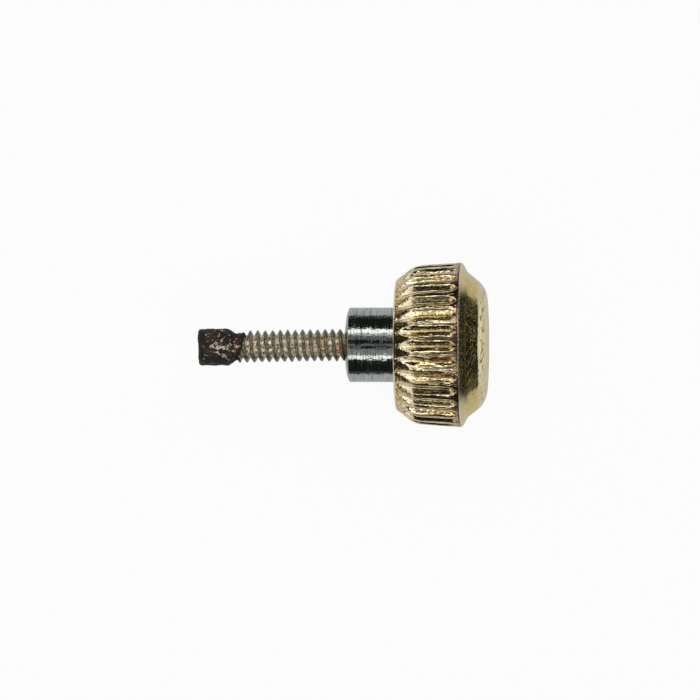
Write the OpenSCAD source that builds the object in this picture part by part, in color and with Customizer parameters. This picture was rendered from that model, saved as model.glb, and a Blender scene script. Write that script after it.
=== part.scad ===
// Screw-down watch crown: a fluted gold cap on a steel bush, a sprung drive post that
// slides in it, and the broken end of the winding stem that is screwed into the post.
//
// Millimetres. The crown turns about X and its dome points to +X. The origin is on that
// axis, in the plane of the rear rim that closes on the watch case. The model is drawn
// with its spring out, as the crown is when it is unscrewed from the case.

/* [Gold cap] */
// Diameter of the flat rear rim
rear_rim_d = 4.32; // [4.26:0.01:4.4]
// Length of the bevel from the rear rim to the fluted band
bevel_length = 0.62; // [0.5:0.01:0.75]
// Diameter over the ridges at the rear of the band
band_rear_d = 5.3; // [5.2:0.01:5.4]
// Diameter over the ridges at the front of the band
band_front_d = 5.5; // [5.4:0.01:5.7]
// Distance from the rear rim to the front face of the band
band_length = 2.27; // [2.2:0.01:2.4]
// Radius on the front edge of the band
band_edge_r = 0.18; // [0.12:0.01:0.2]
// Length of the whole cap, from the rear rim to the top of the dome
cap_length = 3.06; // [2.98:0.01:3.2]
// Diameter of the nearly flat top of the dome
dome_top_d = 3.1; // [2.9:0.01:3.2]
// Height of the middle of the dome above the edge of its flat top
dome_rise = 0.04; // [0.02:0.01:0.08]
// Radius of the dome's rounded shoulder
dome_shoulder_r = 0.85; // [0.75:0.01:0.9]
// Angle between the dome's conical flank and the crown's axis
dome_flank_angle = 38; // [35:1:42]
// Length of the lip that is turned in behind the bush
lip_length = 0.14; // [0.1:0.01:0.18]
// Bore of that lip
lip_bore_d = 3.76; // [3.68:0.01:3.84]

/* [Flutes] */
// Number of flutes round the band
flute_count = 32; // [28:1:34]
// Angle between the two walls of a flute
flute_angle = 70; // [60:1:72]
// Distance from the rear rim to the pointed rear ends of the flutes
flute_start = 0.15; // [0.12:0.01:0.25]
// Distance from the rear rim to the front ends of the flutes
flute_end = 2.12; // [2.0:0.01:2.14]
// Depth of a flute at its front end
flute_depth = 0.24; // [0.18:0.01:0.26]
// Turn of the flutes round the axis, from one centred straight up
flute_turn = 1; // [0:0.5:11]

/* [Steel bush] */
// Diameter of the bush, and of the cap's bore that it is pressed into
bush_d = 4.1; // [4.04:0.01:4.14]
// Major diameter of the thread for the case tube
tube_thread_d = 3.5; // [3.44:0.01:3.54]
// Pitch of the thread for the case tube
tube_pitch = 0.25; // [0.22:0.01:0.26]
// Turns of the thread for the case tube
tube_turns = 3; // [2:1:3]
// Length of the plain entry ahead of that thread
tube_entry = 0.03; // [0.02:0.01:0.05]

/* [Seal and washers] */
// Thickness of the sealing ring
gasket_thickness = 0.16; // [0.12:0.01:0.18]
// Bore of the sealing ring
gasket_bore_d = 2.58; // [2.54:0.01:2.66]
// Diameter of the recess that holds the sealing ring
gasket_recess_d = 3.44; // [3.4:0.01:3.5]
// Thickness of the retaining washer
washer_thickness = 0.12; // [0.1:0.01:0.14]
// Thickness of the disc under the dome
disc_thickness = 0.2; // [0.16:0.01:0.22]
// Diameter of the disc's boss that centres the spring
boss_d = 1; // [0.9:0.01:1.06]
// Height of that boss
boss_height = 0.15; // [0.1:0.01:0.18]

/* [Post] */
// Diameter of the polished part of the post
post_d = 2.48; // [2.44:0.01:2.5]
// Distance that the post stands out behind the rear rim
post_reach = 1.69; // [1.6:0.01:1.8]
// Length of the chamfer on the end of the post
post_chamfer_length = 0.09; // [0.06:0.01:0.12]
// Radial width of that chamfer
post_chamfer_width = 0.21; // [0.15:0.01:0.24]
// Height of the domed end of the post inside its chamfer
post_end_rise = 0.05; // [0.03:0.01:0.07]
// Diameter of the flat land round the stem
post_land_d = 1.3; // [1.24:0.01:1.4]
// Diameter of the post's neck, which slides in the retaining washer
neck_d = 2.1; // [2.06:0.01:2.14]
// Distance across the flats of the post's driving hexagon
hex_flats = 2.64; // [2.58:0.01:2.66]
// Thickness of that hexagon
hex_thickness = 0.28; // [0.24:0.01:0.3]
// Diameter of the pocket that holds the spring
pocket_d = 1.6; // [1.56:0.01:1.66]
// Steel between the spring's pocket and the tapped hole
pocket_floor = 0.19; // [0.14:0.01:0.24]

/* [Stem] */
// Major diameter of the stem's thread
stem_thread_d = 1.1; // [1.06:0.01:1.12]
// Diameter at the root of the stem's thread
stem_root_d = 0.73; // [0.71:0.01:0.78]
// Pitch of the stem's thread
stem_pitch = 0.25; // [0.24:0.01:0.27]
// Turns of the stem's thread inside the post
stem_turns_in = 7; // [5:1:7]
// Turns of the stem's thread outside the post
stem_turns_out = 13; // [10:1:14]
// Diameter of the plain neck beyond the thread
stem_neck_d = 0.98; // [0.9:0.01:1.02]
// Length of that neck
stem_neck_length = 0.4; // [0.3:0.01:0.5]
// Length of the taper from the neck to the stub
stem_taper_length = 0.3; // [0.2:0.01:0.4]
// Diameter of the broken stub
stub_d = 1.22; // [1.16:0.01:1.28]
// Length of the broken stub
stub_length = 0.98; // [0.8:0.01:1.2]
// Size of the worn chamfers on the ends of the stub
stub_chamfer = 0.07; // [0.04:0.01:0.1]
// Angle that the free part of the stem is bent from the crown's axis
stem_lean = 1; // [0:0.1:1.2]

/* [Spring] */
// Thickness of the spring's wire
wire_d = 0.16; // [0.14:0.01:0.16]
// Outer diameter of the spring
spring_d = 1.48; // [1.44:0.01:1.5]
// Turns of the spring, with one closed turn at each end
spring_turns = 7; // [5:1:7]

/* [Fits] */
// Travel of the crown along the post
travel = 0.75; // [0.6:0.01:0.78]
// Clearance on the radius between pieces that slide on each other
slide_gap = 0.03; // [0.02:0.01:0.035]
// Clearance on the radius between pieces that are pressed together
press_gap = 0.005; // [0.002:0.001:0.008]
// Clearance along the axis at the ends of the travel
stop_gap = 0.02; // [0.01:0.01:0.03]
// Clearance on the radius of the stem's thread
thread_gap = 0.02; // [0.015:0.005:0.03]

/* [Hidden] */

GOLD = [0.80, 0.64, 0.35];
STEEL = [0.62, 0.64, 0.66];
DARK_STEEL = [0.42, 0.43, 0.45];
WORN_STEEL = [0.45, 0.40, 0.34];
RUBBER = [0.08, 0.08, 0.08];

round_fn = 96;
edge_steps = 6;
shoulder_steps = 8;
top_steps = 4;
thread_half_angle = 30;
cut_over = 1;
spring_rings_per_turn = 12;
spring_sides = 6;

// Places along the axis, from the rear rim to the front, each built on the one before
bush_x = lip_length;
tube_thread_x = bush_x + tube_entry;
gasket_x = tube_thread_x + tube_turns * tube_pitch;
washer_x = gasket_x + gasket_thickness;
socket_x = washer_x + washer_thickness;
hex_x = socket_x + stop_gap;
hex_front_x = hex_x + hex_thickness;
disc_x = hex_front_x + travel + 2 * stop_gap;
ceiling_x = disc_x + disc_thickness;
shoulder_x = washer_x - travel - stop_gap;
post_face_x = -post_reach;
tap_front_x = post_face_x + stem_turns_in * stem_pitch;
pocket_x = tap_front_x + thread_gap + pocket_floor;

// Sizes across the axis
bush_r = bush_d / 2 - press_gap;
tube_thread_r = tube_thread_d / 2;
tube_minor_r = tube_thread_r - 0.54 * tube_pitch;
washer_r = tube_minor_r - press_gap;
neck_bore_r = neck_d / 2 + slide_gap;
hex_r = hex_flats / 2 / cos(30);
hex_socket_r = (hex_flats / 2 + slide_gap) / cos(30);
stem_r = stem_thread_d / 2;
stem_root_r = stem_root_d / 2;
stem_crest_flat = (stem_pitch - 2 * (stem_r - stem_root_r) * tan(thread_half_angle)) / 2;
tap_r = stem_r + thread_gap;
tap_minor_r = stem_r - 0.54 * stem_pitch;
spring_r = (spring_d - wire_d) / 2;
flute_rear_r = rear_rim_d / 2 + (band_rear_d - rear_rim_d) / 2 * flute_start / bevel_length;
flute_front_r = band_front_d / 2 - flute_depth;

// Points of an arc round [x, r], in equal steps from one angle to another
function arc(x, r, radius, from, to, steps) = [
    for (k = [0:steps])
        let (a = from + (to - from) * k / steps)
            [x + radius * cos(a), r + radius * sin(a)]
];

// Points of a row of thread rings along the axis, as [x, r]
function thread(x, turns, pitch, outer_r, inner_r, outer_flat) =
    let (flank = (outer_r - inner_r) * tan(thread_half_angle))
    [
        for (k = [0:turns - 1])
            each [
                [x + k * pitch + (pitch - outer_flat) / 2 - flank, inner_r],
                [x + k * pitch + (pitch - outer_flat) / 2, outer_r],
                [x + k * pitch + (pitch + outer_flat) / 2, outer_r],
                [x + k * pitch + (pitch + outer_flat) / 2 + flank, inner_r]
            ]
    ];

// A solid turned about X from points given as [x, r]
module turned(points) {
    rotate([0, 90, 0])
        rotate_extrude($fn = round_fn)
            polygon([for (p = points) [p[1], p[0]]]);
}

// A plain disc or bar along X
module bar(x, length, r, sides = round_fn) {
    translate([x, 0, 0])
        rotate([0, 90, 0])
            cylinder(h = length, r = r, $fn = sides);
}

// One flute's V-shaped cutter, whose root climbs from the bevel to the front of the band
module flute_cutter() {
    slope = atan2(flute_front_r - flute_rear_r, flute_end - flute_start);
    length = norm([flute_end - flute_start, flute_front_r - flute_rear_r]);
    height = 3 * flute_depth;
    half_width = height * tan(flute_angle / 2);
    translate([flute_start, 0, flute_rear_r])
        rotate([0, -slope, 0])
            rotate([90, 0, 90])
                linear_extrude(height = length)
                    polygon([[0, 0], [half_width, height], [-half_width, height]]);
}

module crown_cap() {
    top_r = dome_top_d / 2;
    top_x = cap_length - dome_rise;
    // The shoulder's arc starts square to the flank and ends square to the top
    start_angle = 90 - dome_flank_angle;
    end_angle = atan2(2 * dome_rise, top_r);
    shoulder_x0 = top_x - dome_shoulder_r * cos(end_angle);
    shoulder_r0 = top_r - dome_shoulder_r * sin(end_angle);
    flank_x = shoulder_x0 + dome_shoulder_r * cos(start_angle);
    flank_r = shoulder_r0 + dome_shoulder_r * sin(start_angle);
    foot_r = flank_r + (flank_x - band_length) * tan(dome_flank_angle);
    edge_x = band_length - band_edge_r;
    outline = concat(
        [[0, 0], [0, rear_rim_d / 2], [bevel_length, band_rear_d / 2]],
        arc(edge_x, band_front_d / 2 - band_edge_r, band_edge_r, 90, 0, edge_steps),
        [[band_length, foot_r]],
        arc(shoulder_x0, shoulder_r0, dome_shoulder_r, start_angle, end_angle, shoulder_steps),
        [
            for (k = [1:top_steps])
                let (share = 1 - k / top_steps)
                    [cap_length - dome_rise * share * share, top_r * share]
        ]
    );
    color(GOLD)
        difference() {
            turned(outline);
            bar(-cut_over, cut_over + 2 * lip_length, lip_bore_d / 2);
            bar(bush_x, ceiling_x - bush_x, bush_d / 2);
            for (k = [0:flute_count - 1])
                rotate([flute_turn + 360 * k / flute_count, 0, 0]) flute_cutter();
        }
}

module core_bush() {
    bore = concat(
        [[bush_x - cut_over, 0], [bush_x - cut_over, tube_thread_r], [tube_thread_x, tube_thread_r]],
        thread(tube_thread_x, tube_turns, tube_pitch, tube_thread_r, tube_minor_r, tube_pitch / 8),
        [
            [gasket_x, tube_minor_r], [gasket_x, gasket_recess_d / 2],
            [washer_x, gasket_recess_d / 2], [washer_x, tube_minor_r],
            [socket_x, tube_minor_r], [socket_x, 0]
        ]
    );
    color(STEEL)
        difference() {
            bar(bush_x, disc_x - bush_x, bush_r);
            turned(bore);
            bar(socket_x - stop_gap, disc_x - socket_x + cut_over, hex_socket_r, 6);
        }
}

module seat_gasket() {
    color(RUBBER)
        difference() {
            bar(gasket_x, gasket_thickness, gasket_recess_d / 2 - press_gap);
            bar(gasket_x - cut_over, gasket_thickness + 2 * cut_over, gasket_bore_d / 2);
        }
}

module retaining_washer() {
    color(DARK_STEEL)
        difference() {
            bar(washer_x, washer_thickness, washer_r);
            bar(washer_x - cut_over, washer_thickness + 2 * cut_over, neck_bore_r);
        }
}

module backing_disc() {
    color(DARK_STEEL)
        union() {
            bar(disc_x, disc_thickness, bush_r);
            bar(disc_x - boss_height, boss_height + disc_thickness, boss_d / 2);
        }
}

// Place of the wire along X after a number of turns: a closed turn, the open ones, a closed turn
function wire_x(turn) =
    let (
        closed = wire_d * 1.05,
        first = pocket_x + wire_d / 2,
        last = disc_x - wire_d / 2,
        open = (last - first - 2 * closed) / (spring_turns - 2)
    )
    first + closed * min(turn, 1) + open * min(max(turn - 1, 0), spring_turns - 2)
        + closed * max(turn - spring_turns + 1, 0);

module return_spring() {
    rings = spring_turns * spring_rings_per_turn;
    points = [
        for (k = [0:rings], s = [0:spring_sides - 1])
            let (
                turn = k / spring_rings_per_turn,
                a = 360 * turn,
                b = 360 * s / spring_sides,
                r = spring_r + wire_d / 2 * cos(b)
            )
                [wire_x(turn) + wire_d / 2 * sin(b), r * sin(a), r * cos(a)]
    ];
    sides = [
        for (k = [0:rings - 1], s = [0:spring_sides - 1])
            let (
                a = k * spring_sides + s,
                b = k * spring_sides + (s + 1) % spring_sides,
                c = a + spring_sides,
                d = b + spring_sides
            )
                each [[a, c, b], [b, c, d]]
    ];
    ends = [
        for (s = [1:spring_sides - 2])
            each [
                [0, s, s + 1],
                [rings * spring_sides, rings * spring_sides + s + 1, rings * spring_sides + s]
            ]
    ];
    color(STEEL) polyhedron(points = points, faces = concat(sides, ends));
}

module post() {
    post_r = post_d / 2;
    chamfer_x = post_face_x + post_end_rise;
    // The neck runs on into the hexagon, so that the two are one piece of steel
    neck_front_x = hex_x + hex_thickness / 2;
    outline = [
        [post_face_x, 0],
        [post_face_x, post_land_d / 2],
        [chamfer_x, post_r - post_chamfer_width],
        [chamfer_x + post_chamfer_length, post_r],
        [shoulder_x, post_r],
        [shoulder_x, neck_d / 2],
        [neck_front_x, neck_d / 2],
        [neck_front_x, 0]
    ];
    tap = concat(
        [[post_face_x - cut_over, 0], [post_face_x - cut_over, tap_r], [post_face_x, tap_r]],
        thread(post_face_x, stem_turns_in, stem_pitch, tap_r, tap_minor_r, stem_crest_flat),
        [[tap_front_x + thread_gap, tap_minor_r], [tap_front_x + thread_gap, 0]]
    );
    color(STEEL)
        difference() {
            union() {
                turned(outline);
                bar(hex_x, hex_thickness, hex_r, 6);
            }
            turned(tap);
            bar(pocket_x, hex_front_x - pocket_x + cut_over, pocket_d / 2);
        }
}

module stem() {
    out_length = stem_turns_out * stem_pitch;
    neck_x = post_face_x - out_length - stem_neck_length;
    taper_x = neck_x - stem_taper_length;
    stub_x = taper_x - stub_length;
    stub_r = stub_d / 2;
    inside = concat(
        [[post_face_x, 0]],
        thread(post_face_x, stem_turns_in, stem_pitch, stem_r, stem_root_r, stem_crest_flat),
        [[tap_front_x, stem_root_r], [tap_front_x, 0]]
    );
    outside = concat(
        [
            [stub_x, 0],
            [stub_x, stub_r - stub_chamfer],
            [stub_x + stub_chamfer, stub_r],
            [taper_x, stub_r],
            [neck_x, stem_neck_d / 2],
            [neck_x + stem_neck_length, stem_neck_d / 2]
        ],
        thread(post_face_x - out_length, stem_turns_out, stem_pitch, stem_r, stem_root_r, stem_crest_flat),
        [[post_face_x + stem_pitch / 2, stem_root_r], [post_face_x + stem_pitch / 2, 0]]
    );
    color(WORN_STEEL)
        union() {
            turned(inside);
            translate([post_face_x, 0, 0])
                rotate([0, 0, stem_lean])
                    translate([-post_face_x, 0, 0])
                        turned(outside);
        }
}

crown_cap();
core_bush();
seat_gasket();
retaining_washer();
backing_disc();
return_spring();
post();
stem();
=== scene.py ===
"""A worn screw-down watch crown: fluted gold cap, polished drive post and rusted stem.

Every surface is worked out in millimetres as arrays of points on a grid, in the frame of
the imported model: X is the crown's axis, with the dome at +X, and the camera looks down -Z.
"""

import math

import bpy
import numpy as np
from mathutils import Matrix


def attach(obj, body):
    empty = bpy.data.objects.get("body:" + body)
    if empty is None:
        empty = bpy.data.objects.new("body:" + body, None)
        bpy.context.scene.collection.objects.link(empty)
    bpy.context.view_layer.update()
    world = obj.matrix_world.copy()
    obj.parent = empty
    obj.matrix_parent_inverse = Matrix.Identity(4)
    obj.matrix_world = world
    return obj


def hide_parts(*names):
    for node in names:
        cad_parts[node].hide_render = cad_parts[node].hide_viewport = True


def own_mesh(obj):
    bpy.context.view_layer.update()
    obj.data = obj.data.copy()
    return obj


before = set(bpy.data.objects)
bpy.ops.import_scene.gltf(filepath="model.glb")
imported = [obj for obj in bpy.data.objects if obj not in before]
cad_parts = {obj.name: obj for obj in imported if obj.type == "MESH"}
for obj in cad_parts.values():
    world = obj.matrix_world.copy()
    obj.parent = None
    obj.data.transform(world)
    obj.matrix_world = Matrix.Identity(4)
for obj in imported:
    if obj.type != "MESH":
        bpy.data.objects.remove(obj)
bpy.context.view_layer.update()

MM = 0.001
FULL_TURN = 2 * math.pi


# ---------------------------------------------------------------- measures, in millimetres
# The cap, whose rear rim is at x 0
RIM_R = 2.16
BEVEL_END = 0.62
BEVEL_ROUND = 0.06
BAND_REAR_R = 2.65
BAND_FRONT_R = 2.75
EDGE_X = 2.10
EDGE_R = 0.16
EDGE_ANGLE = math.radians(62)
DOME_FOOT = (2.366, 2.43)
CAP_LENGTH = 3.06
DOME_TOP_R = 1.55
DOME_RISE = 0.04
SHOULDER_R = 0.85
SHOULDER_ANGLE = math.radians(47)
LIP_LENGTH = 0.14
LIP_BORE_R = 1.88
BUSH_BORE_R = 2.05
CEILING_X = 2.49

# The flutes. A root is a line from (FLUTE_START, FLUTE_REAR_R) to FLUTE_MIDDLE and then one
# that climbs by FLUTE_CLIMB a millimetre, and it runs out over RUN_OUT before FLUTE_END.
FLUTES = 32
FLUTE_TURN = math.radians(1)
FLUTE_SLOPE = 1.05
WALL_SHARE = 0.6
ROOT_ROUND = 0.035
REAR_ROOT_ROUND = 0.08
ROOT_BEND = 0.05
RIDGE_ROUND = 0.02
DEEPEST = 0.25
FLUTE_START = 0.11
FLUTE_REAR_R = 2.247
FLUTE_MIDDLE = (0.7, 2.505)
FLUTE_CLIMB = 0.068
FLUTE_END = 2.125
RUN_OUT = 0.32
KNOCK = (1.15, -0.57, 2.54)
SEAM_X = 2.165

# The post
POST_R = 1.24
POST_END = -1.69
POST_EDGE_X = -1.54
POST_CHAMFER_X = -1.64
POST_CHAMFER_R = 1.03
SMALL_EDGE = 0.02
POST_SHOULDER_X = 0.31
NECK_R = 1.05
HEX_X = 1.22
HEX_FRONT_X = 1.50
HEX_HALF_FLATS = 1.32
POCKET_R = 0.8
POCKET_X = 0.27
TAP_END = 0.08

# The stem
THREAD_R = 0.55
THREAD_ROOT_R = 0.365
THREAD_GAP = 0.02
TAP_ROOT_GAP = 0.05
THREAD_PITCH = 0.25
THREAD_CREST_X = -1.874
STEM_FRONT = 0.06
THREAD_OUT_END = -5.20
STEM_NECK_R = 0.44
NECK_END = -5.34
TAPER_END = -5.64
STUB_END = -6.62
STUB_R = 0.61
STUB_EDGE = 0.13
SWELLING_END = (-5.3, -5.0)
STEM_LEAN = math.radians(1)

# The spring, and the disc it stands on
SPRING_R = 0.66
WIRE_R = 0.08
SPRING_TURNS = 7
DISC_X = 2.29


# ---------------------------------------------------------------- arrays and surfaces
def lattice_noise(x, y, z, cell, seed):
    """Smooth noise from -1 to 1. An integer hash gives each corner of a cubic lattice a
    number, and a point blends the eight corners round it with t * t * (3 - 2 * t)."""
    corners, shares = [], []
    for axis in (x, y, z):
        scaled = np.asarray(axis, float) / cell
        low = np.floor(scaled)
        t = scaled - low
        corners.append(low.astype(np.int64))
        shares.append(t * t * (3 - 2 * t))
    total = 0.0
    for step_x in (0, 1):
        for step_y in (0, 1):
            for step_z in (0, 1):
                key = (
                    (corners[0] + step_x) * 374761393
                    + (corners[1] + step_y) * 668265263
                    + (corners[2] + step_z) * 1442695041
                    + seed * 1274126177
                )
                key = (key ^ (key >> 13)) * 1274126177
                key = key ^ (key >> 16)
                number = (key & 0xFFFF) / 32767.5 - 1
                weight = 1.0
                for step, share in zip((step_x, step_y, step_z), shares):
                    weight = weight * (share if step else 1 - share)
                total = total + weight * number
    return total


def rough_noise(x, y, z, cell, seed, octaves=3):
    """A sum of lattice noises, each with half the cell and half the height of the last."""
    total = 0.0
    for k in range(octaves):
        total = total + lattice_noise(x, y, z, cell / 2**k, seed + 17 * k) / 2**k
    return total


def soft_min(k, *levels):
    """The lowest of several levels with its creases rounded: -k log(sum of exp(-level / k))."""
    lowest = np.minimum.reduce(np.broadcast_arrays(*levels))
    return lowest - k * np.log(sum(np.exp((lowest - level) / k) for level in levels))


def soft_max(k, *levels):
    """The highest of several levels with its creases rounded."""
    return -soft_min(k, *[-np.asarray(level) for level in levels])


def fade(value, start, end):
    """0 before start, 1 after end, and t * t * (3 - 2 * t) between them."""
    t = np.clip((value - start) / (end - start), 0, 1)
    return t * t * (3 - 2 * t)


def spaced(*stops):
    """Values along a row: each stop after the first is (end, steps), in equal steps."""
    values = [stops[0]]
    for end, steps in stops[1:]:
        values.extend(np.linspace(values[-1], end, steps + 1)[1:])
    return np.array(values, float)


def arc_points(x, r, radius, start, end, steps):
    """Points [x, r] of an arc round (x, r), from one angle to another in equal steps."""
    a = np.linspace(start, end, steps + 1)
    return np.stack([x + radius * np.cos(a), r + radius * np.sin(a)], axis=1)


def cut_line(points, steps):
    """A line through the points [x, r], with each stretch cut into its number of steps."""
    parts = [np.array([points[0]], float)]
    for a, b, n in zip(points, points[1:], steps):
        share = np.linspace(0, 1, n + 1)[1:, None]
        parts.append(np.array(a, float) + share * (np.array(b, float) - np.array(a, float)))
    return np.concatenate(parts)


def wrapped_piece(name, x, y, z, attributes=None, crease=35):
    """A closed mesh from grids of x, y and z in millimetres. Columns close round the axis,
    and the first and last rows, which lie on it, become one point each."""
    rows, columns = x.shape
    places = np.stack([x, y, z], axis=-1) * MM
    points = np.concatenate(
        [places[0, :1], places[1:-1].reshape(-1, 3), places[-1, :1]]
    )
    start = 1 + np.arange(rows - 2)[:, None] * columns
    here = start + np.arange(columns)[None, :]
    beside = start + (np.arange(columns)[None, :] + 1) % columns
    quads = np.stack([here[:-1], beside[:-1], beside[1:], here[1:]], axis=-1).reshape(-1, 4)
    last = len(points) - 1
    first_fan = np.stack([np.zeros(columns, int), beside[0], here[0]], axis=-1)
    last_fan = np.stack([np.full(columns, last), here[-1], beside[-1]], axis=-1)
    a, b, c = (points[quads[:, k]] for k in (0, 1, 2))
    if np.einsum("ij,ij->i", a, np.cross(b, c)).sum() < 0:
        quads, first_fan, last_fan = quads[:, ::-1], first_fan[:, ::-1], last_fan[:, ::-1]
    mesh = bpy.data.meshes.new(name)
    mesh.from_pydata(points.tolist(), [], first_fan.tolist() + quads.tolist() + last_fan.tolist())
    for key, grid in (attributes or {}).items():
        values = np.concatenate([grid[0, :1], grid[1:-1].ravel(), grid[-1, :1]])
        mesh.attributes.new(key, "FLOAT", "POINT").data.foreach_set(
            "value", values.astype(np.float32)
        )
    mesh.shade_smooth()
    mesh.set_sharp_from_angle(angle=math.radians(crease))
    mesh.validate()
    piece = bpy.data.objects.new(name, mesh)
    bpy.context.scene.collection.objects.link(piece)
    return piece


def turned_grid(profile, angles):
    """Grids of x, r and angle from a profile of points [x, r] carried round the axis."""
    x = np.repeat(profile[:, :1], len(angles), axis=1)
    r = np.repeat(profile[:, 1:], len(angles), axis=1)
    return x, r, np.broadcast_to(angles, x.shape)


# ---------------------------------------------------------------- the gold cap
def flute_columns():
    """One flute's columns from ridge to ridge, as shares of half its width: -1 and 1 are
    the ridges' middles, 0 is the root, and at WALL_SHARE the wall meets the ridge's top.
    They lie closer together where the root and the ridge's edges are rounded."""
    half = np.array([0, 0.05, 0.12, 0.22, 0.34, 0.46, 0.54, WALL_SHARE, 0.66, 0.74, 0.86, 1])
    return np.concatenate([-half[:0:-1], half[:-1]])


def crest_radius(x):
    """Radius of the ridges' tops: the bevel's cone and the band's, met in a rounded edge,
    and after the band's end the front edge's arc."""
    bevel = RIM_R + (BAND_REAR_R - RIM_R) * x / BEVEL_END
    climb = (BAND_FRONT_R - BAND_REAR_R) / (EDGE_X - BEVEL_END)
    band = BAND_REAR_R + climb * (x - BEVEL_END)
    cone = soft_min(BEVEL_ROUND, bevel, band)
    over = np.clip(x - EDGE_X, 0, EDGE_R)
    edge = BAND_FRONT_R - EDGE_R + np.sqrt(EDGE_R**2 - over**2)
    return np.where(x > EDGE_X, edge, cone)


def cap_profile():
    """The cap's section as points [x, r]: the hollow inside, the rear rim, the bevel and the
    band, the seam, the rounded front edge, the cone round the dome's foot, the dome's flank,
    its shoulder's arc, and its top, where x falls with r * r. The second array says which
    of the points lie on the fluted bevel and band."""
    top_x = CAP_LENGTH - DOME_RISE
    end_angle = math.atan2(2 * DOME_RISE, DOME_TOP_R)
    shoulder_x = top_x - SHOULDER_R * math.cos(end_angle)
    shoulder_r = DOME_TOP_R - SHOULDER_R * math.sin(end_angle)
    start_angle = math.pi / 2 - SHOULDER_ANGLE
    shoulder = arc_points(shoulder_x, shoulder_r, SHOULDER_R, start_angle, end_angle, 14)
    top_r = np.linspace(DOME_TOP_R, 0, 15)[1:]
    top = np.stack([CAP_LENGTH - DOME_RISE * (top_r / DOME_TOP_R) ** 2, top_r], axis=1)
    band_x = spaced(0.03, (0.12, 2), (0.66, 14), (1.85, 22), (FLUTE_END, 20), (2.15, 1))
    edge_x = np.linspace(SEAM_X + 0.012, EDGE_X + EDGE_R * math.sin(EDGE_ANGLE), 4)
    edge_r = crest_radius(edge_x)
    inside = cut_line(
        [(CEILING_X, 0), (CEILING_X, BUSH_BORE_R), (LIP_LENGTH, BUSH_BORE_R),
         (LIP_LENGTH, LIP_BORE_R), (0.02, LIP_BORE_R), (0, LIP_BORE_R + 0.02),
         (0, RIM_R - 0.035), (0.004, RIM_R - 0.015), (0.013, RIM_R + 0.003)],
        [1, 1, 1, 1, 1, 2, 1, 1],
    )
    seam_r = crest_radius(SEAM_X)
    outside = [
        np.stack([band_x, crest_radius(band_x)], axis=1),
        [[SEAM_X - 0.008, seam_r - 0.012], [SEAM_X - 0.002, seam_r - 0.016],
         [SEAM_X + 0.002, seam_r - 0.003], [SEAM_X + 0.006, crest_radius(SEAM_X + 0.006)]],
        np.stack([edge_x, edge_r], axis=1),
        cut_line([(edge_x[-1] + 0.02, edge_r[-1] - 0.031), DOME_FOOT], [4])[:-1],
        cut_line(
            [(DOME_FOOT[0] + 0.02, DOME_FOOT[1] - 0.016), shoulder[0] + [-0.012, 0.010]], [8]
        ),
        shoulder,
        top,
    ]
    profile = np.concatenate([inside, *outside])
    fluted = np.zeros(len(profile), bool)
    fluted[len(inside):len(inside) + len(band_x)] = True
    return profile, fluted[:, None]


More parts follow.
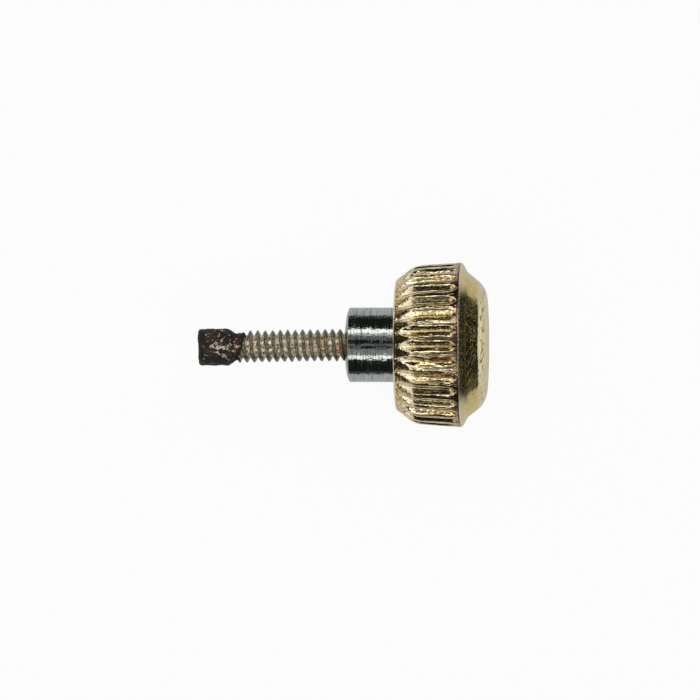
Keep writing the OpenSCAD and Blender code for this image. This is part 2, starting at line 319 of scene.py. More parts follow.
def build_cap():
    """The cap's radius is the lower of the crest's and a flute's, which is the root's radius
    plus slope * (sqrt(side * side + k * k) - k). The root is two straight lines met in a
    bend, and its depth runs out at the front. Noise adds wear, columns follow the flutes,
    and a knock has half filled one."""
    profile, fluted = cap_profile()
    share = np.tile(flute_columns(), FLUTES)
    number = np.repeat(np.arange(FLUTES), len(flute_columns()))
    pitch = FULL_TURN / FLUTES
    x, r, _ = turned_grid(profile, np.zeros(len(share)))
    crest = crest_radius(x)
    steepness = (FLUTE_MIDDLE[1] - FLUTE_REAR_R) / (FLUTE_MIDDLE[0] - FLUTE_START)
    rear_root = FLUTE_REAR_R + steepness * (x - FLUTE_START)
    front_root = FLUTE_MIDDLE[1] + FLUTE_CLIMB * (x - FLUTE_MIDDLE[0])
    root = soft_min(ROOT_BEND, rear_root, front_root)
    run_out = 1 - np.clip((x - FLUTE_END + RUN_OUT) / RUN_OUT, 0, 1) ** 2
    depth = np.clip(crest - root, 0, None) * run_out
    root_round = REAR_ROOT_ROUND + (ROOT_ROUND - REAR_ROOT_ROUND) * fade(x, 0.25, 0.7)
    half_width = np.sqrt((depth / FLUTE_SLOPE + root_round) ** 2 - root_round**2)
    half_width = np.maximum(half_width, 0.002)
    wall = half_width / crest / (pitch / 2)
    wall = np.where(fluted, np.clip(wall, 0.2, 0.86), WALL_SHARE)
    # Walls take the columns up to WALL_SHARE, and the ridge's top the rest
    size = np.abs(share)
    on_ridge = (size - WALL_SHARE) / (1 - WALL_SHARE)
    offset = np.where(size < WALL_SHARE, size / WALL_SHARE * wall, wall + on_ridge * (1 - wall))
    offset = offset * np.sign(share) * pitch / 2
    angle = FLUTE_TURN + number * pitch + offset

    y0, z0 = crest * np.cos(angle), crest * np.sin(angle)
    wander = 0.035 * lattice_noise(x * 0.6, number * 5.0, 0 * x, cell=1.0, seed=3)
    side = crest * np.sin(offset + wander * pitch / 2)
    ragged = 0.006 * rough_noise(x * 0.3, y0, z0, cell=0.3, seed=5, octaves=2)
    rise = FLUTE_SLOPE * (np.sqrt(side**2 + root_round**2) - root_round)
    knock = np.sqrt((x - KNOCK[0]) ** 2 + 2 * (y0 - KNOCK[1]) ** 2 + (z0 - KNOCK[2]) ** 2)
    lumps = 0.06 + 0.012 * rough_noise(x, y0, z0, cell=0.2, seed=11)
    filled = (1 - fade(knock, 0.05, 0.5)) * lumps
    groove = crest - depth + rise + ragged + filled + (depth <= 0) * 0.1
    worn = 0.004 * rough_noise(x * 0.25, y0, z0, cell=0.12, seed=7, octaves=2)
    worn = worn + 0.012 * lattice_noise(x, y0, z0, cell=0.4, seed=9)
    level = soft_min(RIDGE_ROUND, crest + worn - 0.008, groove)
    past_rim = fade(x, 0.05, 0.12)
    r = np.where(fluted, crest + (level - crest) * past_rim, r)
    dent = fade(x, 2.2, 2.4) * 0.006 * rough_noise(x, y0, z0, cell=0.35, seed=21)
    r = r + dent * fade(r, 0.2, 0.6)
    below = np.where(fluted, np.clip((crest - r) / DEEPEST, 0, 1), 0)
    across = np.where(fluted, np.clip(np.abs(side) / half_width, 0, 2), 2)
    seam = fade(x, FLUTE_END - 0.03, FLUTE_END) * (1 - fade(x, SEAM_X - 0.003, SEAM_X + 0.003))
    piece = wrapped_piece(
        "worn_gold_cap", x, r * np.cos(angle), r * np.sin(angle),
        {"below_crest": below, "across": across, "seam": seam},
    )
    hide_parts("crown_cap")
    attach(piece, "crown_head")
    return piece


# ---------------------------------------------------------------- the post and the stem
def thread_radius(x, angle, outer, root):
    """A right-handed thread, as a function of x / pitch - angle / turn. Its flanks are
    outer + depth * (0.25 - 1.35 * away), where away is 0 in the middle of a crest and 1
    halfway to the next, and they are cut off at the crest and the root in rounded creases."""
    phase = (x - THREAD_CREST_X) / THREAD_PITCH - angle / FULL_TURN
    away = np.abs(phase - np.round(phase)) * 2
    depth = outer - root
    flank = outer + 0.25 * depth - 1.35 * depth * away
    crest = soft_min(0.11 * depth, flank, outer + 0.02 * depth)
    return soft_max(0.04 * depth, crest, root)


def build_post():
    """The post's profile turned about X. Its driving head is a hexagon, whose radius is
    half its flats over the cosine of the angle from the nearest flat's middle, and the
    thread in its mouth matches the stem's."""
    angles = np.arange(240) / 240 * FULL_TURN
    pocket = cut_line(
        [(POCKET_X, 0), (POCKET_X, POCKET_R), (HEX_FRONT_X - SMALL_EDGE, POCKET_R),
         (HEX_FRONT_X, POCKET_R + SMALL_EDGE)], [1, 1, 1],
    )
    head = [
        [HEX_FRONT_X, HEX_HALF_FLATS - SMALL_EDGE], [HEX_FRONT_X - SMALL_EDGE, HEX_HALF_FLATS],
        [HEX_X + SMALL_EDGE, HEX_HALF_FLATS], [HEX_X, HEX_HALF_FLATS - SMALL_EDGE],
    ]
    outer = [
        cut_line(
            [(HEX_X, NECK_R), (POST_SHOULDER_X, NECK_R),
             (POST_SHOULDER_X, POST_R - SMALL_EDGE), (POST_SHOULDER_X - SMALL_EDGE, POST_R)],
            [1, 1, 1],
        ),
        cut_line([(POST_SHOULDER_X - 0.06, POST_R), (POST_EDGE_X, POST_R)], [18]),
        [[POST_EDGE_X - 0.009, POST_R - 0.002], [POST_EDGE_X - 0.017, POST_R - 0.008],
         [POST_EDGE_X - 0.026, POST_R - 0.024]],
        [[POST_CHAMFER_X + 0.015, POST_CHAMFER_R + 0.035],
         [POST_CHAMFER_X + 0.006, POST_CHAMFER_R + 0.012],
         [POST_CHAMFER_X - 0.001, POST_CHAMFER_R - 0.02]],
        cut_line(
            [(POST_CHAMFER_X - 0.015, 0.9), (POST_END + 0.005, 0.68), (POST_END, 0.64),
             (POST_END, 0.6)], [3, 2, 1],
        ),
    ]
    tap_x = spaced(POST_END, (TAP_END, 120))
    tap = np.stack([tap_x, np.full(len(tap_x), THREAD_R)], axis=1)
    profile = np.concatenate([pocket, head, *outer, tap, [[TAP_END, 0]]])
    x, r, angle = turned_grid(profile, angles)
    hexagon = slice(len(pocket), len(pocket) + len(head))
    sector = (angle + math.pi / 6) % (math.pi / 3) - math.pi / 6
    r[hexagon] = (r / np.cos(sector))[hexagon]
    bore = slice(len(profile) - 1 - len(tap_x), len(profile) - 1)
    cut = thread_radius(x, angle, THREAD_R + THREAD_GAP, THREAD_ROOT_R + TAP_ROOT_GAP)
    r[bore] = cut[bore]
    piece = wrapped_piece("polished_post", x, r * np.cos(angle), r * np.sin(angle))
    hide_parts("post")
    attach(piece, "stem_unit")
    return piece


def build_stem():
    """The stem's thread, neck, taper and rusted stub as one radius over x and angle. Rust
    swells and pits it with noise, and the part outside the post is turned by STEM_LEAN
    round the middle of the post's mouth."""
    angles = np.arange(144) / 144 * FULL_TURN
    line = [
        cut_line([(STUB_END, 0), (STUB_END, STUB_R - STUB_EDGE - 0.03)], [5]),
        arc_points(
            STUB_END + STUB_EDGE, STUB_R - STUB_EDGE, STUB_EDGE, math.pi * 0.94, math.pi / 2, 6
        ),
        cut_line([(STUB_END + STUB_EDGE + 0.02, STUB_R), (TAPER_END, STUB_R)], [36]),
        cut_line([(TAPER_END + 0.02, STUB_R - 0.008), (NECK_END, STEM_NECK_R)], [14]),
    ]
    thread_x = spaced(NECK_END + 0.01, (POST_END + 0.01, 292), (STEM_FRONT, 100))
    thread = np.stack([thread_x, np.full(len(thread_x), THREAD_ROOT_R)], axis=1)
    profile = np.concatenate([*line, thread, [[STEM_FRONT, 0]]])
    x, r, angle = turned_grid(profile, angles)
    y0, z0 = r * np.cos(angle), r * np.sin(angle)
    turns = thread_radius(x, angle, THREAD_R, THREAD_ROOT_R)
    outside = fade(-x, -POST_END - 0.02, -POST_END + 0.05)
    y1, z1 = THREAD_R * np.cos(angle), THREAD_R * np.sin(angle)
    chipped = lattice_noise(x, y1, z1, cell=0.2, seed=31)
    grain = rough_noise(x, y1, z1, cell=0.09, seed=33)
    # Outside the post the crests are worn down, chipped and grainy
    height = fade(turns, THREAD_ROOT_R + 0.03, THREAD_R)
    turns = turns - outside * height * (0.014 + 0.02 * chipped + 0.008 * grain)
    turns = turns + outside * 0.004 * grain
    # The last turn is broken away, and runs out into the rusted neck
    broken = x - 0.1 * np.cos(angle) + 0.04 * lattice_noise(x, y0, z0, cell=0.15, seed=37)
    run_out = fade(broken, THREAD_OUT_END - 0.1, THREAD_OUT_END + 0.1)
    threaded = np.arange(len(profile))[:, None] >= len(profile) - 1 - len(thread_x)
    r = np.where(threaded, STEM_NECK_R * (1 - run_out) + turns * run_out, r)
    r[-1] = 0
    rust = 1 - fade(broken, THREAD_OUT_END, THREAD_OUT_END + 0.2)
    swollen = 0.5 + fade(x, TAPER_END - 0.2, TAPER_END) * (1 - fade(x, *SWELLING_END))
    crust = swollen * 0.028 * rough_noise(x, y0, z0, cell=0.26, seed=41)
    crust = crust + 0.016 * rough_noise(x, y0, z0, cell=0.09, seed=43)
    r = r + rust * crust * fade(r, 0.05, 0.35)
    r = soft_min(0.01, r, STUB_R + 0.02)
    fracture = 0.02 + 0.028 * rough_noise(x * 0, y0, z0, cell=0.35, seed=47)
    x = x + np.where(x < STUB_END + 0.1, fracture, 0)
    y, z = r * np.cos(angle), r * np.sin(angle)
    bend = STEM_LEAN * fade(-x, -POST_END - 0.06, -POST_END + 0.02)
    reach = x - POST_END
    x, y = (
        POST_END + reach * np.cos(bend) - y * np.sin(bend),
        reach * np.sin(bend) + y * np.cos(bend),
    )
    piece = wrapped_piece("rusted_stem", x, y, z, {"rust": rust, "crest": height})
    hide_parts("stem")
    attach(piece, "stem_unit")
    return piece


def build_spring():
    """A round wire along a helix with a closed turn at each end: ring k's centre is at
    (place(turn), R sin, R cos), and its circle lies across the wire's direction."""
    steps, sides = 48, 12
    # The wire is a little thin, and the closed turns lie a little apart, so that none touch
    closed_gap, wire_fit = 1.05, 0.97
    turn = np.arange(SPRING_TURNS * steps + 1) / steps
    first, last = POCKET_X + WIRE_R, DISC_X - WIRE_R
    closed = 2 * WIRE_R * closed_gap
    open_pitch = (last - first - 2 * closed) / (SPRING_TURNS - 2)
    place = (
        first
        + closed * np.minimum(turn, 1)
        + open_pitch * np.clip(turn - 1, 0, SPRING_TURNS - 2)
        + closed * np.clip(turn - SPRING_TURNS + 1, 0, None)
    )
    angle = turn * FULL_TURN
    round_wire = np.arange(sides) / sides * FULL_TURN
    wire = WIRE_R * wire_fit
    radius = SPRING_R + wire * np.cos(round_wire)[None, :]
    x = place[:, None] + wire * np.sin(round_wire)[None, :]
    y, z = radius * np.sin(angle)[:, None], radius * np.cos(angle)[:, None]
    middle = [place, SPRING_R * np.sin(angle), SPRING_R * np.cos(angle)]
    x, y, z = (
        np.concatenate([np.full((1, sides), c[0]), grid, np.full((1, sides), c[-1])])
        for c, grid in zip(middle, (x, y, z))
    )
    piece = wrapped_piece("coiled_spring", x, y, z, crease=60)
    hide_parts("return_spring")
    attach(piece, "crown_head")
    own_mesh(piece)
    return piece


# ---------------------------------------------------------------- zones, colours and lamps
# Where the cap's finish changes, from one x to another
RIM_FADE = (0.03, 0.07)
BEVEL_FADE = (0.3, 0.6)
DOME_FADE = (2.17, 2.2)
SHOULDER_FADE = (2.72, 2.80)
TOP_FADE = (2.9, 3.0)

# Where the thin edge, and the ring of painted shade round the dome's foot, come in and go out in
# x
EDGE_IN, EDGE_OUT = (2.168, 2.18), (2.21, 2.23)
RING_IN, RING_OUT = (2.21, 2.225), (2.38, 2.5)

# The middles, x and y, of the bruise on the cap and of the bare flecks on the stub
BRUISE = (1.6, -0.46)
FLECKS = (-5.75, -0.08)

# The cap's gold, from the rear rim to the dome's top
BAND_GOLD = (0.99, 0.78, 0.40)
BEVEL_GOLD = (0.97, 0.72, 0.34)
REAR_RIDGE_GOLD = (0.92, 0.78, 0.52)
FRONT_RIDGE_GOLD = (0.88, 0.68, 0.48)
WALL_CREAM = (0.92, 0.84, 0.60)
WALL_OLIVE = (0.33, 0.24, 0.11)
WALL_GOLD = (0.95, 0.76, 0.41)
CLEAN_GOLD = (0.96, 0.80, 0.50)
EDGE_GOLD = (0.80, 0.69, 0.53)
FLANK_GOLD = (0.69, 0.54, 0.22)
FLANK_DULL_GOLD = (0.63, 0.51, 0.23)
SHOULDER_GOLD = (0.93, 0.83, 0.51)
# Painted shade for the shoulder towards its top and bottom in y
SHOULDER_SHADED_GOLD = (0.66, 0.57, 0.34)
TOP_GOLD = (0.84, 0.70, 0.34)

# What lies on the gold, and the near black of the painted shade round the dome's foot
WORN_BROWN = (0.34, 0.18, 0.10)
BRUISE_BROWN = (0.32, 0.19, 0.13)
DIRT_BROWN = (0.17, 0.075, 0.04)
TARNISH_BROWN = (0.17, 0.13, 0.065)
MARK_BROWN = (0.15, 0.085, 0.04)
# Painted shade: the near black given to the ring round the dome's foot
RING_SHADE_BLACK = (0.015, 0.011, 0.003)

# Steel, rust and rubber
POST_DARK_STEEL = (0.36, 0.40, 0.37)
POST_STEEL = (0.47, 0.51, 0.475)
POST_STAIN = (0.20, 0.20, 0.18)
STEM_GREY_BEIGE = (0.54, 0.48, 0.38)
STEM_BEIGE = (0.97, 0.88, 0.71)
STEM_BROWN = (0.74, 0.48, 0.30)
# The thread's dull tone on worn crests and patches, also used as painted shade on its sides
STEM_DULL_AND_SHADE = (0.13, 0.12, 0.08)
RUST_BLACK = (0.013, 0.012, 0.010)
RUST_BROWN = (0.038, 0.018, 0.013)
BARE_STEEL = (0.58, 0.51, 0.41)
BUSH_STEEL = (0.52, 0.53, 0.53)
WIRE_STEEL = (0.55, 0.56, 0.57)
TURNED_STAIN = (0.20, 0.15, 0.10)
RUBBER_BLACK = (0.018, 0.018, 0.019)
RUBBER_BLOOM = (0.055, 0.054, 0.052)

# Where the pale board under the crown ends, and the table it lies on
BOARD_FRONT = (10, 13)
BOARD_CORNER = (5, 7)
BOARD_SIDE = (13, 19)
BOARD_REAR = (30, 50)
BOARD_GREY = (0.5, 0.5, 0.5)
TABLE_GREY = (0.06, 0.06, 0.06)
SHOWN_WHITE, MIRRORED_WHITE = 0.94, 0.25

# The lamps, in metres, degrees and radiances. A side lamp has its side, the angles from
# the camera's line between which it lies, and its radiance. A rear lamp has the angle
# round the crown's axis that it lies at, and its width.
LAMP_REACH = 0.15
STRIP_LENGTH = 0.52
SIDE_LAMPS = (
    ("upper strip", 1, 37.5, 49.5, 2.5),
    ("lower strip", -1, 34, 44, 2.2),
    ("upper glow", 1, 28, 37, 0.75),
    ("upper dim glow", 1, 15, 27, 0.2),
    ("lower glow", -1, 12, 33, 0.35),
    ("middle glow", -1, -2.5, 3.5, 0.25),
)
REAR_LAMPS = (
    ("rear glow", 0, 0.09), ("upper rear glow", 78, 0.06), ("lower rear glow", -76, 0.06),
)
REAR_LENGTH = 0.06
REAR_RADIANCE = 0.9
FILL_POWER = 1.7
ROOM_COLOUR, ROOM_STRENGTH = (0.92, 1, 0.98, 1), 0.02
SHOWN_COLOUR, SHOWN_STRENGTH = (1, 1, 1, 1), 0.96


# ---------------------------------------------------------------- materials
class Signal:
    """A shader socket whose operators add Math nodes, so that shader maths reads as maths."""

    def __init__(self, finish, socket):
        self.finish, self.socket = finish, socket

    def math(self, operation, *others):
        """A Math node on this socket and the others."""
        return self.finish.node(
            "ShaderNodeMath", {"operation": operation}, dict(enumerate((self, *others)))
        )

    def __add__(self, other):
        return self.math("ADD", other)

    def __sub__(self, other):
        return self.math("SUBTRACT", other)

    def __rsub__(self, other):
        return self.finish.node("ShaderNodeMath", {"operation": "SUBTRACT"}, {0: other, 1: self})

    def __mul__(self, other):
        return self.math("MULTIPLY", other)

    __radd__, __rmul__ = __add__, __mul__

    def between(self, low, high):
        """0 at low and 1 at high, smooth between them and level outside. With low above
        high it falls instead of rising."""
        return self.finish.node(
            "ShaderNodeMapRange", {"interpolation_type": "SMOOTHSTEP"},
            {"Value": self, "From Min": low, "From Max": high},
        )


class Finish:
    """A material being made."""

    def __init__(self, name):
        self.material = bpy.data.materials.new(name)
        self.material.use_nodes = True
        self.tree = self.material.node_tree
        self.tree.nodes.clear()

    def node(self, kind, settings=None, sockets=None, output=0):
        """Adds any node: its settings first, and then its sockets' values or links."""
        made = self.tree.nodes.new(kind)
        for key, value in (settings or {}).items():
            setattr(made, key, value)
        for key, value in (sockets or {}).items():
            if isinstance(value, Signal):
                self.tree.links.new(value.socket, made.inputs[key])
            elif isinstance(value, tuple) and made.inputs[key].type == "RGBA":
                made.inputs[key].default_value = (*value, 1)
            else:
                made.inputs[key].default_value = value
        return Signal(self, made.outputs[output])

    def outputs(self, kind, names, sockets=None):
        """Adds a node and gives those of its outputs that are named."""
        made = self.node(kind, {}, sockets).socket.node
        return [Signal(self, made.outputs[name]) for name in names]

    def axes(self, place):
        """A place's x, y and z."""
        return self.outputs("ShaderNodeSeparateXYZ", "XYZ", {0: place})

    def place(self):
        """The object's own coordinates in millimetres, which are the row frame's."""
        where = self.node("ShaderNodeTexCoord", output="Object")
        return self.node(
            "ShaderNodeVectorMath", {"operation": "SCALE"}, {0: where, "Scale": 1 / MM}
        )

    def stretched(self, place, scale):
        """A place with its axes scaled, on which noise is drawn out along the small ones."""
        return self.node("ShaderNodeVectorMath", {"operation": "MULTIPLY"}, {0: place, 1: scale})

    def noise(self, place, scale, detail=4.0, roughness=0.55):
        """Noise whose features are about 1 / scale millimetres across."""
        return self.node(
            "ShaderNodeTexNoise", {},
            {"Vector": place, "Scale": scale, "Detail": detail, "Roughness": roughness},
        )

    def blend(self, factor, first, second):
        """The first colour where factor is 0, and the second where it is 1. A Mix node's
        colours are its sockets 6 and 7, and come out of its socket 2."""
        return self.node(
            "ShaderNodeMix", {"data_type": "RGBA"}, {0: factor, 6: first, 7: second}, output=2
        )

    def attribute(self, name):
        """A number that the mesh holds at each of its points."""
        return self.node("ShaderNodeAttribute", {"attribute_name": name}, output="Fac")

    def bump(self, height, depth):
        """A bump of that depth in millimetres where height goes from 0 to 1."""
        sockets = {"Height": height, "Distance": depth * MM, "Strength": 1.0}
        return self.node("ShaderNodeBump", {}, sockets)

    def surface(self, **sockets):
        """Closes the material with a Principled shader. Underscores stand for spaces."""
        named = {key.replace("_", " "): value for key, value in sockets.items()}
        return self.close(self.node("ShaderNodeBsdfPrincipled", {}, named))

    def close(self, shader):
        """Gives the material its surface."""
        out = self.tree.nodes.new("ShaderNodeOutputMaterial")
        self.tree.links.new(shader.socket, out.inputs["Surface"])
        return self.material


def worn_gold():
    """Worn gold: pale and streaked on the ridges, mottled brown on the flutes' walls and
    clean along their roots and edges, with painted shade and crossing scratches round the
    dome's foot, a pale shoulder with painted shade towards its top and bottom in y, and
    faint dark marks on its top."""
    f = Finish("worn gold")
    place = f.place()
    below, across, seam = (f.attribute(name) for name in ("below_crest", "across", "seam"))
    cloud = f.noise(place, 1.6, 3.0)
    speckle = f.noise(f.stretched(place, (0.6, 1.0, 1.0)), 11.0, 2.0, 0.6)
    grain = f.noise(place, 14.0, 1.0, 0.5)
    streaks = f.noise(f.stretched(place, (0.16, 1.0, 1.0)), 17.0, 1.0, 0.5)
    x, y, z = f.axes(place)
    on_rim = 1 - x.between(*RIM_FADE)
    on_bevel = 1 - x.between(*BEVEL_FADE)
    on_dome = x.between(*DOME_FADE)
    on_top = x.between(*TOP_FADE)
    on_shoulder = x.between(*SHOULDER_FADE) * (1 - on_top)
    on_band = (1 - on_dome) * (1 - on_bevel)
    low = below.between(0.03, 0.25)
    crest = (1 - low) * on_band
    root_line = low * (1 - across.between(0.04, 0.2)) * (1 - x.between(1.2, 1.95) * 0.8)
    outline = across.between(0.8, 0.92) * (1 - across.between(1.02, 1.2)) * (1 - on_dome)
    clean = (root_line + outline).between(0, 1)

    # The gold itself, zone by zone
    flank = f.blend(cloud.between(0.35, 0.7), FLANK_GOLD, FLANK_DULL_GOLD)
    fluted = f.blend(on_bevel, BAND_GOLD, BEVEL_GOLD)
    # Painted shade: the pale shoulder darkens from its middle towards its top and bottom in y
    shoulder = f.blend((y * y).between(0.8, 2.6), SHOULDER_GOLD, SHOULDER_SHADED_GOLD)
    gold = f.blend(on_dome, fluted, flank)
    gold = f.blend(on_shoulder, gold, shoulder)
    gold = f.blend(on_top, gold, TOP_GOLD)
    ridge = f.blend(x.between(1.3, 2.0), REAR_RIDGE_GOLD, FRONT_RIDGE_GOLD)
    gold = f.blend(crest * streaks.between(0.46, 0.56), gold, ridge)
    mottle = (speckle * 0.6 + grain * 0.4).between(0.45, 0.6)
    olive = f.blend(mottle, WALL_OLIVE, WALL_GOLD)
    walls = f.blend(x.between(0.35, 0.9), WALL_CREAM, olive)
    gold = f.blend(low, gold, walls)
    gold = f.blend((clean + on_rim).between(0, 1), gold, CLEAN_GOLD)

    # Wear and dirt on the bevel and the band
    pocket_dirt = below.between(0.2, 0.6) * cloud.between(0.5, 0.6) * x.between(0.9, 1.7)
    dirt = (pocket_dirt * 0.7 + seam * streaks.between(0.35, 0.55) * 0.8).between(0, 1)
    colour = f.blend(x.between(1.98, 2.06) * (1 - on_dome) * 0.5, gold, WORN_BROWN)
    # A knock has left a brown bruise on the flute that it filled
    off_x, off_y = x - BRUISE[0], y - BRUISE[1]
    knocked = off_x * off_x * 2.0 + off_y * off_y * 14.0
    bruise = knocked.between(0.6, 0.1) * z.between(1.5, 2.0) * speckle.between(0.4, 0.5) * 0.8
    colour = f.blend(bruise, colour, BRUISE_BROWN)
    colour = f.blend(dirt, colour, DIRT_BROWN)
    bevel_stain = on_bevel * (1 - low) * (1 - on_rim * 0.8) * grain.between(0.58, 0.46)
    crest_stain = crest * (streaks * 0.75 + speckle * 0.25).between(0.56, 0.48)
    tarnish = (bevel_stain * 0.85 + crest_stain * 0.8) * (1 - clean * 0.8)
    colour = f.blend(tarnish * 0.85, colour, TARNISH_BROWN)

    # Painted shade and scratches round the dome's foot, the thin edge, and marks on the top
    crossing = []
    for way in (0.8, -0.5):
        along = {0: x + y * way, 1: (x - y * way) * 0.07, 2: z}
        lines = f.noise(f.node("ShaderNodeCombineXYZ", {}, along), 26.0, 1.0, 0.5)
        crossing.append(lines.between(0.59, 0.64))
    scratches = (crossing[0] + crossing[1]).between(0, 1)
    ring = x.between(*RING_IN) * (1 - x.between(*RING_OUT))
    # Painted shade: a near-black ring round the dome's foot, fading out towards its sides in y,
    # with the scratches showing through
    ring_painted_shade = ring * (1 - (y * y).between(2.3, 4.2)) * (1 - scratches * 0.28)
    colour = f.blend(ring_painted_shade, colour, RING_SHADE_BLACK)
    edge_line = x.between(*EDGE_IN) * (1 - x.between(*EDGE_OUT))
    colour = f.blend(edge_line, colour, EDGE_GOLD)
    marks = f.noise(f.stretched(place, (12.0, 5.0, 9.0)), 1.0, 1.0, 0.5)
    faintness = 0.85 - x.between(3.0, 3.03) * 0.45
    top_marks = marks.between(0.565, 0.615) * x.between(2.84, 2.9) * faintness
    colour = f.blend(top_marks, colour, MARK_BROWN)

    coarse = crest * 0.1 + low * 0.12 + on_bevel * (1 - low) * (1 - on_rim) * 0.25
    height = (grain - 0.5) * (coarse + on_dome * (1 - on_top * 0.6) * 0.12)
    streaked = low * 0.06 + crest * (1 - x.between(1.85, 2.1) * 0.5) * 0.42
    height = height + (streaks - 0.5) * streaked
    relief = f.bump(height - top_marks * 0.06, 0.05)
    rubbed = scratches * on_dome * (1 - on_shoulder) * (1 - on_top)
    roughness = 0.1 + dirt * 0.25 + tarnish * 0.1 + rubbed * 0.33
    roughness = roughness + (on_top + edge_line) * 0.15
    # The ring's painted shade also loses most of its metal, so that it reflects almost nothing
    metallic = 1 - ring_painted_shade.between(0.55, 0.95) * 0.85
    return f.surface(
        Base_Color=colour, Metallic=metallic, Roughness=roughness, Normal=relief,
        Specular_IOR_Level=0.0,
    )


def polished_steel():
    """Polished steel with dark and dull lathe lines round the post, and small pits."""
    f = Finish("polished steel")
    place = f.place()
    lines = f.noise(f.stretched(place, (32.0, 2.2, 2.2)), 1.0, 1.0, 0.5)
    fine = f.noise(f.stretched(place, (1.0, 0.8, 0.8)), 24.0, 1.0, 0.5)
    patches = f.noise(place, 3.4, 3.0, 0.6)
    pits = fine.between(0.64, 0.70)
    steel = f.blend(lines.between(0.35, 0.65), POST_DARK_STEEL, POST_STEEL)
    stained = f.blend((pits + lines.between(0.44, 0.36)) * 0.6, steel, POST_STAIN)
    worn = patches.between(0.45, 0.6)
    relief = f.bump(lines * 0.25 + fine * (worn * 0.7 + 0.1), 0.006)
    roughness = 0.04 + worn * 0.04 + pits * 0.2 + lines.between(0.5, 0.6) * 0.11
    return f.surface(Base_Color=stained, Metallic=1.0, Roughness=roughness, Normal=relief)


def rusted_steel():
    """Tarnished beige steel on the thread, browner near the post and duller on its crests, with
    painted shade on its sides towards the top and bottom in y, and a dark crust of rust on
    the neck and the stub with flecks of bare steel."""
    f = Finish("rusted steel")
    place = f.place()
    rust, crest = f.attribute("rust"), f.attribute("crest")
    speckle = f.noise(place, 12.0, 2.0, 0.6)
    grain = f.noise(place, 22.0, 1.0, 0.5)
    cloud = f.noise(place, 3.0, 3.0, 0.6)
    x, y, _ = f.axes(place)
    steel = f.blend(speckle.between(0.4, 0.6), STEM_GREY_BEIGE, STEM_BEIGE)
    brown = x.between(-3.6, -1.8) * cloud.between(0.48, 0.6) * 0.7
    tarnished = f.blend(brown, steel, STEM_BROWN)
    dull = crest.between(0.3, 0.75) * 0.7 + speckle.between(0.48, 0.40) * 0.6
    # Painted shade: the thread darkens towards its top and bottom in y, on top of its dull crests
    # and patches
    dull = dull + (y * y).between(0.1, 0.2) * 0.6
    thread = f.blend(dull.between(0, 1), tarnished, STEM_DULL_AND_SHADE)
    crust = f.blend(cloud.between(0.5, 0.57), RUST_BLACK, RUST_BROWN)
    # There are fewer flecks away from their middle
    off_x, off_y = x - FLECKS[0], y - FLECKS[1]
    away = off_y * off_y * 9.0 + off_x * off_x * 1.5
    fleck_noise = f.noise(place, 7.0, 2.0, 0.7)
    flecks = (fleck_noise - away.between(0, 1) * 0.14).between(0.48, 0.56)
    crusted = f.blend(flecks * 0.85, crust, BARE_STEEL)
    rusted = (rust + (speckle - 0.5) * 1.2).between(0.4, 0.6)
    colour = f.blend(rusted, thread, crusted)
    metallic = 0.75 - rusted * (1 - flecks * 0.6) * 0.75
    height = (grain - 0.5) * (0.12 + rusted) + (speckle - 0.5) * (0.15 + rusted)
    roughness = 0.16 + rusted * 0.34 + speckle.between(0.4, 0.7) * 0.1
    return f.surface(
        Base_Color=colour, Metallic=metallic, Roughness=roughness,
        Normal=f.bump(height, 0.035), Specular_IOR_Level=0.2,
    )


def turned_steel(name, colour, groove_scale, roughness):
    """Turned steel: fine lines round the axis, with a few stains."""
    f = Finish(name)
    place = f.place()
    lines = f.noise(f.stretched(place, (groove_scale, 1.0, 1.0)), 1.0, 3.0)
    stain = f.noise(place, 4.0, 5.0, 0.65)
    shade = tuple(c * 0.72 for c in colour)
    base = f.blend(lines.between(0.3, 0.7), shade, colour)
    stained = f.blend(stain.between(0.55, 0.7) * 0.6, base, TURNED_STAIN)
    dull = roughness + stain.between(0.45, 0.7) * 0.15
    return f.surface(
        Base_Color=stained, Metallic=1.0, Roughness=dull, Normal=f.bump(lines, 0.004)
    )


def black_rubber():
    """Aged nitrile rubber: dull black with a greyish bloom and a fine grain."""
    f = Finish("black rubber")
    place = f.place()
    grain = f.noise(place, 22.0, 5.0, 0.6)
    bloom = f.noise(place, 3.0, 4.0, 0.6)
    base = f.blend(bloom.between(0.4, 0.7), RUBBER_BLACK, RUBBER_BLOOM)
    roughness = 0.5 + grain.between(0.4, 0.7) * 0.2
    return f.surface(
        Base_Color=base, Metallic=0.0, Roughness=roughness, Normal=f.bump(grain, 0.01)
    )


def pale_floor():
    """A pale board with soft edges and cut front corners on a darker table, in millimetres.
    Metal and glass see the board lighter than it is, and the camera sees it all white, as
    the photograph's background is."""
    f = Finish("pale floor")
    camera, glossy, through = f.outputs(
        "ShaderNodeLightPath", ("Is Camera Ray", "Is Glossy Ray", "Is Transmission Ray")
    )
    x, y, _ = f.axes(f.place())
    wide = y.math("ABSOLUTE")
    beyond = x.between(*BOARD_FRONT) * wide.between(*BOARD_CORNER)
    beyond = beyond + (x * -1).between(*BOARD_REAR) + wide.between(*BOARD_SIDE)
    beyond = beyond.between(0, 1)
    board = f.blend(beyond, BOARD_GREY, TABLE_GREY)
    matt = f.node("ShaderNodeBsdfDiffuse", {}, {"Color": board})
    glow = f.node("ShaderNodeEmission", {}, {"Color": (1.0, 1.0, 1.0), "Strength": 1.0})
    white = camera * SHOWN_WHITE + (glossy + through) * (1 - beyond) * MIRRORED_WHITE
    return f.close(f.node("ShaderNodeMixShader", {}, {0: white, 1: matt, 2: glow}))


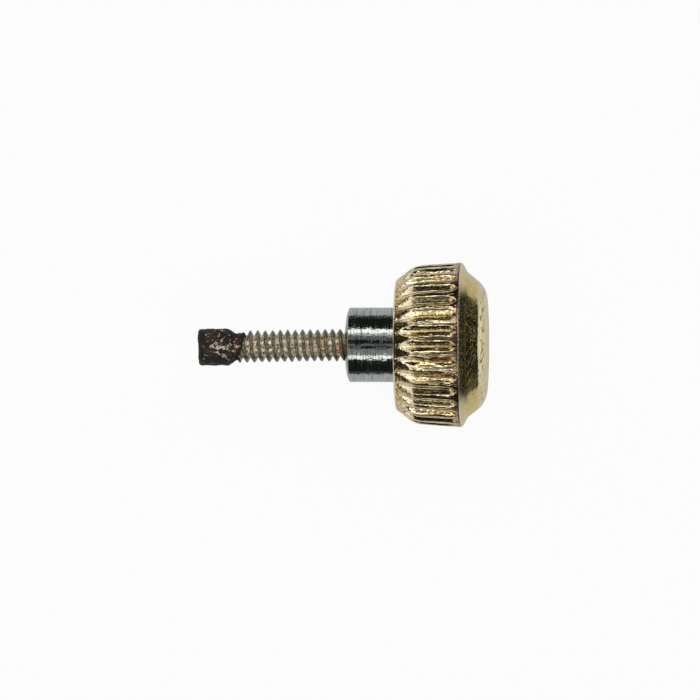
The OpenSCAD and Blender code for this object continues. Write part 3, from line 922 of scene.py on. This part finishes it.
# ---------------------------------------------------------------- the studio
def build_floor():
    """A disc under the crown, as wide as a table for the views from the side."""
    corners = 64
    angles = np.arange(corners) / corners * FULL_TURN
    ring = np.stack([np.cos(angles), np.sin(angles), np.zeros(corners)], axis=1)
    points = np.concatenate([[[0, 0, 0]], ring]) + [0, 0, -BAND_FRONT_R * MM]
    k = np.arange(corners)
    faces = np.stack([0 * k, 1 + k, 1 + (k + 1) % corners], axis=1)
    mesh = bpy.data.meshes.new("floor")
    mesh.from_pydata(points.tolist(), [], faces.tolist())
    floor = bpy.data.objects.new("floor", mesh)
    bpy.context.scene.collection.objects.link(floor)
    floor.data.materials.append(pale_floor())


def turned_matrix(across, upward, away, place):
    """The matrix of an object at a place, with its X, Y and Z along three directions."""
    axes = np.eye(4)
    axes[:3, :3] = np.stack([across, upward, away], axis=1)
    axes[:3, 3] = place
    return Matrix(axes.tolist())


def add_lamp(name, place, size, power, glossy=True):
    """A rectangular lamp at a place in metres that faces the middle of the crown. Its
    length lies as near along X as it can."""
    data = bpy.data.lights.new(name, "AREA")
    data.shape, data.size, data.size_y, data.energy = "RECTANGLE", size[0], size[1], power
    lamp = bpy.data.objects.new(name, data)
    lamp.visible_glossy, lamp.visible_camera = glossy, False
    away = np.array(place) / np.linalg.norm(place)
    upward = np.cross(away, [1.0, 0.0, 0.0])
    upward /= np.linalg.norm(upward)
    lamp.matrix_world = turned_matrix(np.cross(upward, away), upward, away, place)
    bpy.context.scene.collection.objects.link(lamp)


def light_room():
    """A dim room that the camera sees white."""
    world = bpy.data.worlds.new("dim room")
    bpy.context.scene.world = world
    world.use_nodes = True
    nodes, links = world.node_tree.nodes, world.node_tree.links
    dim, bright = nodes["Background"], nodes.new("ShaderNodeBackground")
    rays, mix = nodes.new("ShaderNodeLightPath"), nodes.new("ShaderNodeMixShader")
    dim.inputs["Color"].default_value = ROOM_COLOUR
    dim.inputs["Strength"].default_value = ROOM_STRENGTH
    bright.inputs["Color"].default_value = SHOWN_COLOUR
    bright.inputs["Strength"].default_value = SHOWN_STRENGTH
    links.new(rays.outputs["Is Camera Ray"], mix.inputs[0])
    links.new(dim.outputs[0], mix.inputs[1])
    links.new(bright.outputs[0], mix.inputs[2])
    links.new(mix.outputs[0], nodes["World Output"].inputs["Surface"])


def light_studio():
    """Two strips beside the camera, which polished metal shows as two bright lines, dimmer
    glows beside them and behind the crown, and a soft fill that metal doesn't show. A lamp
    of radiance L and area A has the power L * pi * A."""
    for name, side, low, high, radiance in SIDE_LAMPS:
        middle = math.radians((low + high) / 2)
        width = 2 * LAMP_REACH * math.tan(math.radians(high - low) / 2)
        place = (0.0, side * LAMP_REACH * math.sin(middle), LAMP_REACH * math.cos(middle))
        add_lamp(name, place, (STRIP_LENGTH, width), radiance * math.pi * STRIP_LENGTH * width)
    behind, out = 0.65 * LAMP_REACH, 0.76 * LAMP_REACH
    for name, turn, width in REAR_LAMPS:
        turn = math.radians(turn)
        place = (-behind, out * math.sin(turn), out * math.cos(turn))
        add_lamp(name, place, (REAR_LENGTH, width), REAR_RADIANCE * math.pi * REAR_LENGTH * width)
    add_lamp("fill", (0.02, 0.0, 0.4), (0.5, 0.5), FILL_POWER, glossy=False)
    light_room()


def place_camera():
    """The photograph's view: 300 mm away, tilted 3.7 degrees towards the dome, and so wide
    that a millimetre at the crown is 30 pixels of 700."""
    distance, tilt, frame_width = 300.0, math.radians(3.7), 23.33
    aim = np.array([-1.55, -0.173, 0.0])
    back = np.array([math.sin(tilt), 0, math.cos(tilt)])
    up = np.array([0.0, 1.0, 0.0])
    place = (aim + back * distance) * MM
    data = bpy.data.cameras.new("camera")
    data.sensor_width = 36
    data.lens = data.sensor_width * distance / frame_width
    data.clip_start, data.clip_end = 0.01, 10
    camera = bpy.data.objects.new("camera", data)
    camera.matrix_world = turned_matrix(np.cross(up, back), up, back, place)
    bpy.context.scene.collection.objects.link(camera)
    bpy.context.scene.camera = camera


place_camera()
light_studio()
build_floor()
build_cap().data.materials.append(worn_gold())
build_post().data.materials.append(polished_steel())
build_stem().data.materials.append(rusted_steel())
build_spring().data.materials.append(turned_steel("spring wire", WIRE_STEEL, 3.0, 0.25))

bush_finish = turned_steel("turned bush steel", BUSH_STEEL, 40.0, 0.24)
rubber_finish = black_rubber()
for node, finish in (
    ("core_bush", bush_finish),
    ("retaining_washer", bush_finish),
    ("backing_disc", bush_finish),
    ("seat_gasket", rubber_finish),
):
    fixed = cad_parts[node]
    for part_slot in fixed.material_slots:
        part_slot.material = finish

scene = bpy.context.scene
scene.view_settings.view_transform = "Standard"
